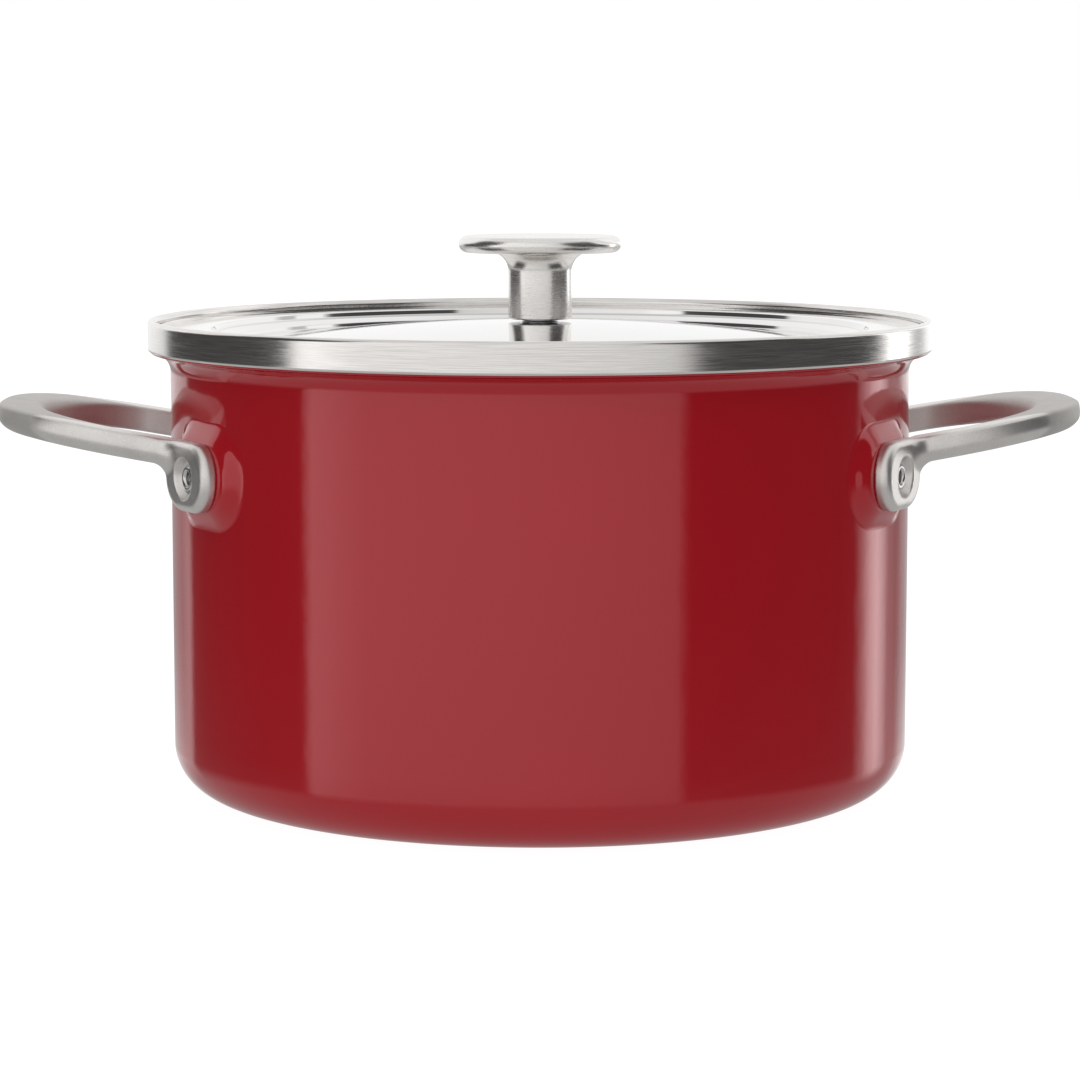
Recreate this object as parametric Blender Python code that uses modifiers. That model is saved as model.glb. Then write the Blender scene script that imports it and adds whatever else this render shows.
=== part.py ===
"""Enamelled steel stock pot: flared body with a steel rim ring, two riveted
loop handles, and a lift-off lid with a screwed-on knob.

Metres, +Z up.  The origin is the centre of the flat base, on the surface that
the pot stands on.  +X runs through both handles.
"""

import math

import bmesh
import bpy
from mathutils import Vector

# ---------------------------------------------------------------------------
# Driving dimensions
# ---------------------------------------------------------------------------

GAP = 0.0003              # clearance between touching pieces
MERGE = 0.00001           # distance at which a turned shape's points merge

# Body
WALL_R = 0.1225           # outside radius of the straight wall
WALL_T = 0.0020
BASE_T = 0.0025
CORNER_R = 0.0160         # outside radius between wall and base
FLARE_Z = 0.1399          # where the wall starts to flare outwards
FLARE_R = 0.0058          # outside radius of the flare
FLARE_END = math.radians(100)
LIP_R = 0.12895           # outside radius of the upturned lip
LIP_T = 0.0011
LIP_TOP = 0.1512

# Rim ring
RING_R = 0.1298           # outside radius
RING_TOP = 0.15675
RING_BEAD = 0.0027        # width of the rounded top
RING_LEG_T = 0.00055
RING_FOOT = 0.0011        # radius of the rolled lower edge
RING_LOW = 0.1474         # where the rolled lower edge starts
RING_HEM = 0.0004         # height of the step inside the lower edge
RING_INNER_LOW = 0.1491   # lower end of the ring's inner leg
RING_INNER_TOP = 0.1553   # where the slope inside the rounded top starts
RING_CREST_R = 0.0006     # radius between that slope and the top

# Lid
LID_R = 0.1266            # outside radius of the skirt
LID_T = 0.0008
LID_EDGE_R = 0.0010       # radius between ledge and skirt
LID_LEDGE = 0.1543        # outer edge of the ledge, its highest line
LID_APEX = 0.1555
LID_DOME = (0.0905, 0.1496)       # radius and height of the dome's foot
LID_STEPS = (                     # radius and height, from the valley to the ledge
    (0.0945, 0.1488), (0.1027, 0.1489), (0.1031, 0.1503),
    (0.1083, 0.1521), (0.1088, 0.1537), (0.1225, 0.1539),
)
SCREW_HOLE_R = 0.0028

# Knob and its fasteners
KNOB_R = 0.0270           # outside radius of the disc
KNOB_CROWN_R = 0.0150     # where the disc's top starts to fall
KNOB_CROWN = 0.0001       # height of that fall
KNOB_EDGE_R = 0.0025      # half the thickness of the disc's round edge
KNOB_FILLET = 0.0060      # radius between disc and stem
KNOB_STEM_R = 0.01055
KNOB_CHAMFER = 0.0004
KNOB_FOOT = 0.1562        # underside of the stem
KNOB_UNDER = 0.1783       # underside of the disc
KNOB_TOP = 0.1838
WASHER_R = 0.0060         # spacer washer and screw washer
WASHER_T = 0.0008
SCREW_R = 0.0025
SCREW_DEPTH = 0.0110      # thread length inside the stem
SCREW_HEAD_R = 0.0048
SCREW_HEAD_T = 0.0026
SCREW_HEAD_EDGE = 0.0012
SOCKET_R = 0.0012
SOCKET_DEPTH = 0.0014
SCREW_TIP = 0.0005        # chamfer at the thread's end

# Pads and lugs
HANDLE_ANGLE = math.radians(28.5)   # rivets, each side of the X axis
RIVET_Z = 0.1093
PAD_FACE = 0.1250         # flat face of an enamelled pad, from the axis
PAD_DEPTH = 0.0060        # before its back is hollowed to the wall
PAD_HALF_W = 0.0195
PAD_LOW, PAD_HIGH = 0.0978, 0.1222
PAD_CORNER = 0.0100
PAD_EDGE = 0.0016
LUG_T = 0.0050
LUG_HALF_W = 0.0150
LUG_LOW, LUG_HIGH = 0.0985, 0.1213
LUG_CORNER = 0.0085
LUG_EDGE = 0.0012
BEHIND_LUG = Vector((0.050, 0.060, 0.020))   # block cleared behind a lug

# Handle loops
BAR_T = 0.0090            # height of the bar
BAR_EDGE = 0.0031         # rounding of the bar's edges
BAR_ROOT_X = 0.1250
BAR_ROOT_TOP = 0.1222     # top of the bar at BAR_ROOT_X
BAR_SLOPE = 0.172         # rise of the bar along X
GRIP_X = 0.1790           # outermost point of the loop
GRIP_LEVEL = 0.65         # share of the bar's reach where it starts to level off
GRIP_FALL = 0.0010        # how far the grip's end drops below the slope
LOOP_HALF_W = 0.0545      # outside half width of the loop
LOOP_A = 0.0700           # length of the loop's rounded end
LOOP_POWER = 2.75
LOOP_ROOT_X = 0.1160      # hidden behind the lugs
HOLE_X = 0.1640           # end of the finger hole
HOLE_HALF_W = 0.0415
HOLE_A = 0.0300
HOLE_POWER = 1.9
HOLE_ROOT_X = 0.1245
ROOT_STEPS = ((0.1195, 0.0050), (0.1210, 0.0020))   # X, and spread beyond the hole's half width

# Rivets
RIVET_R = 0.0032
RIVET_HOLE_R = 0.0035
RIVET_BORE_R = 0.0022
RIVET_BORE_DEPTH = 0.0035
RIVET_HEAD_R = 0.0070
RIVET_HEAD_T = 0.0022
RIVET_HEAD_EDGE = 0.0006  # height of the head's straight rim
RIVET_HEAD_GAP = 0.0009   # the flat head clears the round wall at its edges
RIVET_ROLL = 0.0012       # how far the rolled end stands out, and lies below the lug's face
SINK_R = 0.0067           # mouth of the hole in the lug
SINK_TAPER = 0.0012
SINK_DEPTH = 0.0022
SINK_SEAT = 0.0034        # depth at which the rivet's own hole starts

DRILL_REACH = 0.0060      # how far a drill reaches each side of a surface
ROUND_STEPS = 40
SMALL_STEPS = 16


# ---------------------------------------------------------------------------
# Scene, collections and materials
# ---------------------------------------------------------------------------

def clear_scene():
    for obj in list(bpy.data.objects):
        bpy.data.objects.remove(obj, do_unlink=True)


def new_collection(name):
    collection = bpy.data.collections.new(name)
    bpy.context.scene.collection.children.link(collection)
    return collection


def new_material(name, color, roughness, metallic):
    material = bpy.data.materials.new(name)
    material.use_nodes = True
    shader = material.node_tree.nodes["Principled BSDF"]
    shader.inputs["Base Color"].default_value = (*color, 1.0)
    shader.inputs["Roughness"].default_value = roughness
    shader.inputs["Metallic"].default_value = metallic
    return material


clear_scene()
POT = new_collection("stock_pot")
CUTTERS = new_collection("cutters")

ENAMEL = new_material("red_enamel", (0.27, 0.012, 0.02), 0.12, 0.0)
BRUSHED = new_material("brushed_steel", (0.62, 0.61, 0.59), 0.32, 1.0)
POLISHED = new_material("polished_steel", (0.68, 0.67, 0.66), 0.10, 1.0)
SATIN = new_material("satin_steel", (0.60, 0.58, 0.56), 0.38, 1.0)
ZINC = new_material("zinc_steel", (0.50, 0.50, 0.50), 0.45, 1.0)


# ---------------------------------------------------------------------------
# Shape helpers
# ---------------------------------------------------------------------------

def arc(center_r, center_z, radius, start_deg, end_deg, count):
    """Points (r, z) along an arc, both ends included."""
    points = []
    for i in range(count + 1):
        angle = math.radians(start_deg + (end_deg - start_deg) * i / count)
        points.append((center_r + radius * math.cos(angle),
                       center_z + radius * math.sin(angle)))
    return points


def add_object(name, mesh, material, collection=POT):
    obj = bpy.data.objects.new(name, mesh)
    collection.objects.link(obj)
    if material:
        mesh.materials.append(material)
    return obj


def turned(name, profile, material, steps, closed=False, collection=POT):
    """A profile of (r, z) points, turned about Z by a Screw modifier."""
    mesh = bpy.data.meshes.new(name)
    points = [(r, 0.0, z) for r, z in profile]
    edges = [(i, i + 1) for i in range(len(points) - 1)]
    if closed:
        edges.append((len(points) - 1, 0))
    mesh.from_pydata(points, edges, [])
    obj = add_object(name, mesh, material, collection)
    screw = obj.modifiers.new("turn", "SCREW")
    screw.axis = "Z"
    screw.steps = steps
    screw.render_steps = steps
    screw.use_merge_vertices = True
    screw.merge_threshold = MERGE
    screw.use_smooth_shade = True
    return obj


def radial_place(obj, angle, distance, height):
    """Turn local +Z outwards along the radius at angle, and move it there."""
    obj.rotation_euler = (0.0, math.pi / 2, angle)
    obj.location = (distance * math.cos(angle), distance * math.sin(angle), height)


def outline_mesh(name, outline, thickness):
    """A flat outline of (x, y) points, extruded to +-thickness/2, as a mesh."""
    curve = bpy.data.curves.new(name, "CURVE")
    curve.dimensions = "2D"
    curve.fill_mode = "BOTH"
    curve.extrude = thickness / 2
    spline = curve.splines.new("POLY")
    spline.points.add(len(outline) - 1)
    for point, (x, y) in zip(spline.points, outline):
        point.co = (x, y, 0.0, 1.0)
    spline.use_cyclic_u = True
    guide = bpy.data.objects.new(name + "_curve", curve)
    CUTTERS.objects.link(guide)
    mesh = evaluated_mesh(guide)
    bpy.data.objects.remove(guide, do_unlink=True)
    cage = bmesh.new()
    cage.from_mesh(mesh)
    bmesh.ops.remove_doubles(cage, verts=cage.verts, dist=MERGE / 10)
    cage.to_mesh(mesh)
    cage.free()
    return mesh


def evaluated_mesh(obj):
    """A new mesh of the object with its modifiers applied."""
    bpy.context.view_layer.update()
    evaluated = obj.evaluated_get(bpy.context.evaluated_depsgraph_get())
    return bpy.data.meshes.new_from_object(evaluated)


def rounded_outline(half_w, low, high, radius, count=6):
    """A rounded rectangle: x is the height (negated), y runs along the wall."""
    corners = [(-high + radius, half_w - radius, 90, 180),
               (-high + radius, -half_w + radius, 180, 270),
               (-low - radius, -half_w + radius, 270, 360),
               (-low - radius, half_w - radius, 0, 90)]
    outline = []
    for cx, cy, start, end in corners:
        outline += arc(cx, cy, radius, start, end, count)
    return outline


def bevel(obj, width, segments):
    modifier = obj.modifiers.new("rounded_edges", "BEVEL")
    modifier.width = width
    modifier.segments = segments
    modifier.limit_method = "ANGLE"
    modifier.angle_limit = math.radians(40)


def boolean(obj, other, operation):
    modifier = obj.modifiers.new(operation.lower(), "BOOLEAN")
    modifier.operation = operation
    modifier.object = other
    other.hide_render = True
    other.display_type = "WIRE"


def smooth(obj):
    """Smooth shading, with the sharp edges kept."""
    obj.data.shade_smooth()
    obj.data.set_sharp_from_angle(angle=math.radians(35))


def radial_drill(name, angle, distance):
    """A cutter for one rivet hole, through the surface at that distance."""
    profile = [(0.0, DRILL_REACH), (RIVET_HOLE_R, DRILL_REACH),
               (RIVET_HOLE_R, -DRILL_REACH), (0.0, -DRILL_REACH)]
    drill = turned(name, profile, None, SMALL_STEPS, collection=CUTTERS)
    radial_place(drill, angle, distance, RIVET_Z)
    return drill


# ---------------------------------------------------------------------------
# Body and rim ring
# ---------------------------------------------------------------------------

def rivet_angles():
    """The four rivets: (side name, angle), counter-clockwise from +X."""
    return [("right_rear", HANDLE_ANGLE),
            ("left_rear", math.pi - HANDLE_ANGLE),
            ("left_front", math.pi + HANDLE_ANGLE),
            ("right_front", -HANDLE_ANGLE)]


def body_profile():
    """Inside of the body from its centre up, over the lip, and down outside."""
    flare_center = WALL_R + FLARE_R
    flare_deg = math.degrees(FLARE_END)
    flare_tip_r = flare_center + FLARE_R * math.cos(FLARE_END)
    flare_tip_z = FLARE_Z + FLARE_R * math.sin(FLARE_END)
    turn_r = (LIP_R - flare_tip_r) / (1.0 - math.sin(FLARE_END - math.pi / 2))
    turn_center = (LIP_R - turn_r, flare_tip_z + turn_r * math.sin(FLARE_END))
    lip_in = LIP_R - LIP_T
    lip_edge = LIP_T / 4
    inside = WALL_R - WALL_T
    corner_in = CORNER_R - BASE_T
    profile = [(0.0, BASE_T)]
    profile += arc(inside - corner_in, BASE_T + corner_in, corner_in, -90, 0, 4)
    profile += arc(flare_center, FLARE_Z, FLARE_R + WALL_T, 180, flare_deg, 4)
    profile += [(lip_in, turn_center[1] + LIP_T), (lip_in, LIP_TOP - lip_edge)]
    profile += [(lip_in + lip_edge, LIP_TOP), (LIP_R - lip_edge, LIP_TOP)]
    profile += [(LIP_R, LIP_TOP - lip_edge)]
    profile += arc(*turn_center, turn_r, 0, flare_deg - 180, 3)
    profile += arc(flare_center, FLARE_Z, FLARE_R, flare_deg, 180, 5)[1:]
    profile += arc(WALL_R - CORNER_R, CORNER_R, CORNER_R, 0, -90, 6)
    profile += [(0.0, 0.0)]
    return profile


def make_body():
    body = turned("pot_body", body_profile(), ENAMEL, ROUND_STEPS)
    for side, angle in rivet_angles():
        boolean(body, radial_drill("drill_" + side, angle, WALL_R), "DIFFERENCE")


def make_rim_ring():
    """A ring with a rounded top, sloped inside and open below, over the body's lip."""
    bead = RING_BEAD / 2
    inner = RING_R - RING_BEAD
    inner_leg = inner + RING_LEG_T
    outer_leg = RING_R - RING_LEG_T
    groove_top = LIP_TOP + GAP
    profile = [(inner, RING_INNER_TOP)]
    profile += arc(inner + bead, RING_TOP - RING_CREST_R, RING_CREST_R, 140, 90, 2)
    profile += arc(inner + bead, RING_TOP - bead, bead, 75, 0, 3)
    profile += arc(RING_R - RING_FOOT, RING_LOW, RING_FOOT, 0, -50, 2)
    profile += [(outer_leg - RING_HEM / 4, RING_LOW), (outer_leg, RING_LOW + RING_HEM)]
    profile += [(outer_leg, groove_top), (inner_leg, groove_top)]
    profile += [(inner_leg, RING_INNER_LOW), (inner, RING_INNER_LOW)]
    turned("rim_ring", profile, BRUSHED, ROUND_STEPS, closed=True)


# ---------------------------------------------------------------------------
# Lid, knob and their fasteners
# ---------------------------------------------------------------------------

def lid_top_profile():
    """Top surface of the pressed lid, from the screw hole to the skirt."""
    dome_r, dome_z = LID_DOME
    dome_steps = 4
    points = []
    for i in range(dome_steps + 1):
        r = SCREW_HOLE_R + (dome_r - SCREW_HOLE_R) * i / dome_steps
        points.append((r, LID_APEX - (LID_APEX - dome_z) * (r / dome_r) ** 2))
    points += LID_STEPS
    points += arc(LID_R - LID_EDGE_R, LID_LEDGE - LID_EDGE_R, LID_EDGE_R, 90, 0, 2)
    return points


def offset_below(points, distance):
    """The same line moved to its lower side by a sheet's thickness."""
    moved = []
    for i, (r, z) in enumerate(points):
        before = points[max(i - 1, 0)]
        after = points[min(i + 1, len(points) - 1)]
        along = Vector((after[0] - before[0], after[1] - before[1])).normalized()
        moved.append((r + along.y * distance, z - along.x * distance))
    return moved


def make_lid_pan():
    seat_z = FLARE_Z + FLARE_R + WALL_T + GAP
    top = lid_top_profile()
    under = offset_below(top, LID_T)
    under[0] = (SCREW_HOLE_R, under[0][1])
    under[-1] = (LID_R - LID_T, under[-1][1])
    profile = top + [(LID_R, seat_z), (LID_R - LID_T, seat_z)] + under[::-1]
    turned("lid_pan", profile, POLISHED, ROUND_STEPS, closed=True)


def make_knob():
    """A round-edged disc that flows into its stem, bored for the screw."""
    bore_r = SCREW_R + GAP
    bore_top = KNOB_FOOT + SCREW_DEPTH + GAP
    fillet_center = (KNOB_STEM_R + KNOB_FILLET, KNOB_UNDER - KNOB_FILLET)
    profile = [(0.0, KNOB_TOP), (KNOB_CROWN_R, KNOB_TOP - KNOB_CROWN)]
    profile += arc(KNOB_R - KNOB_EDGE_R, KNOB_UNDER + KNOB_EDGE_R, KNOB_EDGE_R, 75, -80, 6)
    profile += arc(*fillet_center, KNOB_FILLET, 90, 180, 4)
    profile += [(KNOB_STEM_R, KNOB_FOOT + KNOB_CHAMFER), (KNOB_STEM_R - KNOB_CHAMFER, KNOB_FOOT)]
    profile += [(bore_r, KNOB_FOOT), (bore_r, bore_top), (0.0, bore_top)]
    turned("knob", profile, SATIN, SMALL_STEPS * 2)


def flat_washer(name, low, high):
    bore = SCREW_R + GAP
    profile = [(bore, high), (WASHER_R, high), (WASHER_R, low), (bore, low)]
    turned(name, profile, ZINC, SMALL_STEPS, closed=True)


def make_knob_hardware():
    """A spacer on the lid, and a washer and a pan-head screw from below."""
    flat_washer("knob_seat", LID_APEX + GAP / 2, KNOB_FOOT - GAP / 2)
    washer_top = LID_APEX - LID_T - GAP
    flat_washer("screw_washer", washer_top - WASHER_T, washer_top)
    head_top = washer_top - WASHER_T - GAP
    head_low = head_top - SCREW_HEAD_T
    thread_top = KNOB_FOOT + SCREW_DEPTH
    edge_center = (SCREW_HEAD_R - SCREW_HEAD_EDGE, head_low + SCREW_HEAD_EDGE)
    profile = [(0.0, thread_top), (SCREW_R - SCREW_TIP, thread_top)]
    profile += [(SCREW_R, thread_top - SCREW_TIP), (SCREW_R, head_top), (SCREW_HEAD_R, head_top)]
    profile += arc(*edge_center, SCREW_HEAD_EDGE, 0, -90, 4)
    profile += [(SOCKET_R, head_low), (SOCKET_R, head_low + SOCKET_DEPTH)]
    profile += [(0.0, head_low + SOCKET_DEPTH)]
    turned("knob_screw", profile, ZINC, SMALL_STEPS)


# ---------------------------------------------------------------------------
# Pads, handles and rivets
# ---------------------------------------------------------------------------

def make_pad(side, angle):
    """A flat seat for one lug, its back hollowed to the round wall."""
    name = "pad_" + side
    outline = rounded_outline(PAD_HALF_W, PAD_LOW - RIVET_Z, PAD_HIGH - RIVET_Z, PAD_CORNER)
    pad = add_object(name, outline_mesh(name, outline, PAD_DEPTH), ENAMEL)
    smooth(pad)
    radial_place(pad, angle, PAD_FACE - PAD_DEPTH / 2, RIVET_Z)
    bevel(pad, PAD_EDGE, 3)
    above, below = LIP_TOP, CORNER_R
    wall_profile = [(0.0, above), (WALL_R + GAP, above), (WALL_R + GAP, below), (0.0, below)]
    wall = turned("wall_" + side, wall_profile, None, ROUND_STEPS, collection=CUTTERS)
    boolean(pad, wall, "DIFFERENCE")
    boolean(pad, radial_drill("pad_drill_" + side, angle, PAD_FACE), "DIFFERENCE")


def loop_side(end_x, length, half_w, power, start_x, count):
    """One side of a superelliptic loop end, from its root to its tip at y = 0."""
    points = [(start_x, half_w)]
    for i in range(count + 1):
        t = math.pi / 2 * (1.0 - i / count)
        x = end_x - length + length * math.cos(t) ** (2.0 / power)
        y = half_w * math.sin(t) ** (2.0 / power) if i < count else 0.0
        if x > start_x + LUG_EDGE:
            points.append((x, y))
    return points


def loop_outline():
    """Plan of a handle's bar, a U that is open towards the pot."""
    outer = loop_side(GRIP_X, LOOP_A, LOOP_HALF_W, LOOP_POWER, LOOP_ROOT_X, 11)
    inner = [(x, HOLE_HALF_W + spread) for x, spread in ROOT_STEPS]
    inner += loop_side(HOLE_X, HOLE_A, HOLE_HALF_W, HOLE_POWER, HOLE_ROOT_X, 8)
    outer_loop = outer + [(x, -y) for x, y in outer[-2::-1]]
    inner_loop = inner + [(x, -y) for x, y in inner[-2::-1]]
    return [(x, -y) for x, y in outer_loop + inner_loop[::-1]]


def bar_top(x):
    """Height of the bar's top at a distance x from the pot's axis."""
    reach = (x - BAR_ROOT_X) / (GRIP_X - BAR_ROOT_X)
    fall = GRIP_FALL * (max(reach - GRIP_LEVEL, 0.0) / (1.0 - GRIP_LEVEL)) ** 2
    return BAR_ROOT_TOP + BAR_SLOPE * (x - BAR_ROOT_X) - fall


def make_bar(name, side):
    """The loop's bar, bevelled and then bent up along its slope."""
    bar = add_object(name, outline_mesh(name, loop_outline(), BAR_T), SATIN)
    bevel(bar, BAR_EDGE, 3)
    bar.data = evaluated_mesh(bar)
    bar.modifiers.clear()
    for vertex in bar.data.vertices:
        vertex.co.z += bar_top(vertex.co.x) - BAR_T / 2
        vertex.co.x *= side
        vertex.co.y *= side
    smooth(bar)
    return bar


def make_lug(name, angle):
    outline = rounded_outline(LUG_HALF_W, LUG_LOW - RIVET_Z, LUG_HIGH - RIVET_Z, LUG_CORNER)
    lug = add_object(name, outline_mesh(name, outline, LUG_T), SATIN, CUTTERS)
    smooth(lug)
    radial_place(lug, angle, PAD_FACE + GAP + LUG_T / 2, RIVET_Z)
    bevel(lug, LUG_EDGE, 2)
    return lug


def make_block_behind(name, angle):
    """A block that clears the space behind one lug's flat back."""
    cage = bmesh.new()
    bmesh.ops.create_cube(cage, size=1.0)
    bmesh.ops.scale(cage, vec=BEHIND_LUG, verts=cage.verts)
    mesh = bpy.data.meshes.new(name)
    cage.to_mesh(mesh)
    cage.free()
    block = add_object(name, mesh, None, CUTTERS)
    radial_place(block, angle, PAD_FACE + GAP - BEHIND_LUG.z / 2, RIVET_Z)
    return block


def make_sink(name, angle):
    """Cutter for a rivet hole with a wide, deep mouth; local z from the pad."""
    face = GAP + LUG_T
    profile = [(0.0, face + DRILL_REACH), (SINK_R, face + DRILL_REACH), (SINK_R, face)]
    profile += [(SINK_R - SINK_TAPER, face - SINK_DEPTH), (RIVET_HOLE_R, face - SINK_SEAT)]
    profile += [(RIVET_HOLE_R, -DRILL_REACH), (0.0, -DRILL_REACH)]
    sink = turned(name, profile, None, SMALL_STEPS, collection=CUTTERS)
    radial_place(sink, angle, PAD_FACE, RIVET_Z)
    return sink


def make_handle(name, side):
    """side is +1 for the handle on +X, -1 for the one on -X."""
    handle = make_bar(name, side)
    for end, y_sign in (("front", -1), ("rear", 1)):
        angle = HANDLE_ANGLE * y_sign if side > 0 else math.pi - HANDLE_ANGLE * y_sign
        key = name + "_" + end
        boolean(handle, make_lug(key + "_lug", angle), "UNION")
        boolean(handle, make_block_behind(key + "_block", angle), "DIFFERENCE")
        boolean(handle, make_sink(key + "_sink", angle), "DIFFERENCE")


def make_rivet(side, angle):
    """Tubular rivet: domed head inside the pot, rolled end in the lug."""
    seat = -WALL_T - RIVET_HEAD_GAP         # flat of the head, from the wall's outside
    end = PAD_FACE + GAP + LUG_T - RIVET_ROLL - WALL_R
    roll_r = RIVET_R + RIVET_ROLL
    half_roll = RIVET_ROLL / 2
    dome_low = seat - RIVET_HEAD_EDGE
    dome_height = RIVET_HEAD_T - RIVET_HEAD_EDGE
    dome_steps = 3
    profile = [(0.0, end - RIVET_BORE_DEPTH), (RIVET_BORE_R, end - RIVET_BORE_DEPTH)]
    profile += [(RIVET_BORE_R, end - half_roll), (RIVET_BORE_R + half_roll, end)]
    profile += [(roll_r - half_roll, end), (roll_r, end - half_roll), (RIVET_R, end - 2 * RIVET_ROLL)]
    profile += [(RIVET_R, seat), (RIVET_HEAD_R, seat)]
    for i in range(dome_steps):
        t = math.pi / 2 * i / dome_steps
        profile.append((RIVET_HEAD_R * math.cos(t), dome_low - dome_height * math.sin(t)))
    profile.append((0.0, dome_low - dome_height))
    rivet = turned("rivet_" + side, profile, SATIN, SMALL_STEPS)
    radial_place(rivet, angle, WALL_R, RIVET_Z)


def build():
    make_body()
    make_rim_ring()
    make_lid_pan()
    make_knob()
    make_knob_hardware()
    for side, angle in rivet_angles():
        make_pad(side, angle)
        make_rivet(side, angle)
    make_handle("handle_right", 1)
    make_handle("handle_left", -1)
    CUTTERS.hide_render = True


build()
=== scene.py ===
"""Looks of the enamelled stock pot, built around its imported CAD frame.

Metres, +Z up, in the frame's own axes: +X through both handles, the camera on
the -Y side.  Every piece replaces the CAD node that it is made from.
"""

import math

import bpy
import numpy as np
from mathutils import Matrix, Vector, noise


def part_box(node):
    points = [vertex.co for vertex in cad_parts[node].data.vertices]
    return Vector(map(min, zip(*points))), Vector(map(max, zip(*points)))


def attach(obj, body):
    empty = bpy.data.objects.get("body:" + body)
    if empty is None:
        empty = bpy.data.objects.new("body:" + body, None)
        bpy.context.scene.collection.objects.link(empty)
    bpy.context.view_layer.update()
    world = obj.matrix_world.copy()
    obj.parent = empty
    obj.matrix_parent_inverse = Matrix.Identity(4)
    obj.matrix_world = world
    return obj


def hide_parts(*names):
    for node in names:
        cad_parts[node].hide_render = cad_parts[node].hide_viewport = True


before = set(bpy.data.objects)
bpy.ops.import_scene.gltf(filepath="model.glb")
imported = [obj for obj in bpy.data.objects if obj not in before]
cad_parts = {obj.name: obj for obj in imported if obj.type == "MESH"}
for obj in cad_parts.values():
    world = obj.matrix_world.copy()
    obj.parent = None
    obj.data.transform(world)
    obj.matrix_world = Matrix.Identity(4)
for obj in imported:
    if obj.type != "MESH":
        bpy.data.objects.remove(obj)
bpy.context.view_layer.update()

# ---------------------------------------------------------------------------
# Sizes: read from the frame's boxes, or repeated from the CAD's dimensions
# ---------------------------------------------------------------------------

BODY_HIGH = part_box("pot_body")[1]
RING_LOW_BOX, RING_HIGH_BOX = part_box("rim_ring")
LID_LOW_BOX, LID_HIGH_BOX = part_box("lid_pan")
KNOB_LOW_BOX, KNOB_HIGH_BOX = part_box("knob")
HANDLE_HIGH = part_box("handle_right")[1]

# Body
WALL_R = 0.1225
WALL_T = 0.0020
BASE_T = 0.0025
CORNER_R = 0.0160
FLARE_Z = 0.1399
FLARE_R = 0.0058
LIP_R = BODY_HIGH.x
LIP_TOP = BODY_HIGH.z
LIP_T = 0.0011
LIP_ROUND = 0.0004
LIP_FOLD = 0.0012         # rounding where the flare turns up into the lip
SHOULDER_Z = FLARE_Z + FLARE_R

# Unevenness of the neck
NECK_LOW, NECK_RISE = 0.1235, 0.0060    # where it starts, and over what height it grows
NECK_HIGH, NECK_FADE = 0.1462, 0.0025   # where it ends, and over what height it fades
NECK_SIDE = 0.72          # it is larger where the cosine of the angle from X is above this
NECK_SWELL = 0.00006
NECK_SIDE_SWELL = 0.00026
NECK_FINE = 0.35          # height of the finer waves beside the wide ones

# Rim ring
RING_R = RING_HIGH_BOX.x
RING_TOP = RING_HIGH_BOX.z
RING_LOW = RING_LOW_BOX.z
RING_BEAD = 0.0027
RING_LEG_T = 0.00055
RING_FOOT_R = 0.0011
RING_FOOT_TURN = 50       # degrees that the foot curls in
RING_LIP_GAP = 0.0003
RING_LEG_ROUND = 0.0002
RING_INNER_LOW = 0.1491
RING_INNER_TOP = 0.1553
RING_CREST_R = 0.0007

# Lid
LID_R = LID_HIGH_BOX.x
LID_SKIRT_LOW = LID_LOW_BOX.z
LID_T = 0.0008
LID_LEDGE = 0.1543
LID_APEX = LID_HIGH_BOX.z
LID_STEPS = (
    (0.0905, 0.1496), (0.0945, 0.1488), (0.1027, 0.1489), (0.1031, 0.1503),
    (0.1083, 0.1521), (0.1088, 0.1537), (0.1225, 0.1539),
)
LID_EASE = 0.00025        # rounding of the pressed steps
LID_DOME_MARGIN = 0.0020  # the dome's curve ends this much inside its foot
LID_ROLL = 0.0025         # the skirt's first stretch below the ledge
SCREW_HOLE_R = 0.0028

# Knob and its fasteners
KNOB_R = KNOB_HIGH_BOX.x
KNOB_TOP = KNOB_HIGH_BOX.z
KNOB_FOOT = KNOB_LOW_BOX.z
KNOB_UNDER = 0.1783
KNOB_EDGE_R = (KNOB_TOP - KNOB_UNDER) / 2
KNOB_FILLET = 0.0062
KNOB_STEM_R = 0.01055
KNOB_DISH = 0.0003
KNOB_DISH_R = KNOB_R * 0.72
KNOB_CHAMFER = 0.0004
SCREW_R = 0.0025
SCREW_TIP = 0.0006        # chamfer of the screw's end
THREAD_PITCH = 0.0008
THREAD_DEPTH = 0.00022
SCREW_HEAD_T = 0.0026
SCREW_HEAD_ROUND = 0.0012
RECESS_BLADE = (0.0048, 0.0010, 0.0030)
BORE_R = 0.0028
BORE_DEPTH = 0.0113
BORE_EDGE = 0.0003

# Pads, lugs and rivets
HANDLE_ANGLE = math.radians(28.5)
RIVET_Z = 0.1093
PAD_FACE = 0.1250
PAD_HALF_W = 0.0195
PAD_LOW, PAD_HIGH = 0.0978, 0.1222
PAD_CORNER = 0.0118
PAD_EDGE = 0.0032
PAD_FILLET = 0.0058       # where the pad flows into the wall
PAD_SKIRT = 0.0060        # how far the fillet may spread round the pad
PAD_SKIRT_CORNER = 0.0140
PAD_SUNK = 0.0012         # depth of the pad's back inside the wall
PAD_INSET = 0.00003       # how far the skin is drawn in, so that its foot ends in the wall
PAD_BORE_R = 0.0035
LUG_BACK = 0.1253
LUG_FRONT = 0.1303
LUG_HALF_W = 0.0150
LUG_LOW, LUG_HIGH = 0.0985, 0.1213
LUG_CORNER = 0.0110
LUG_EDGE = 0.0030
LUG_FILLET = 0.0045       # between lug and bar
LUG_TOP_X = 0.1185        # the lug's top is level from here to the pot
LUG_TOP_EDGE = 0.0012
LUG_BACK_EDGE = 0.0006

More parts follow.
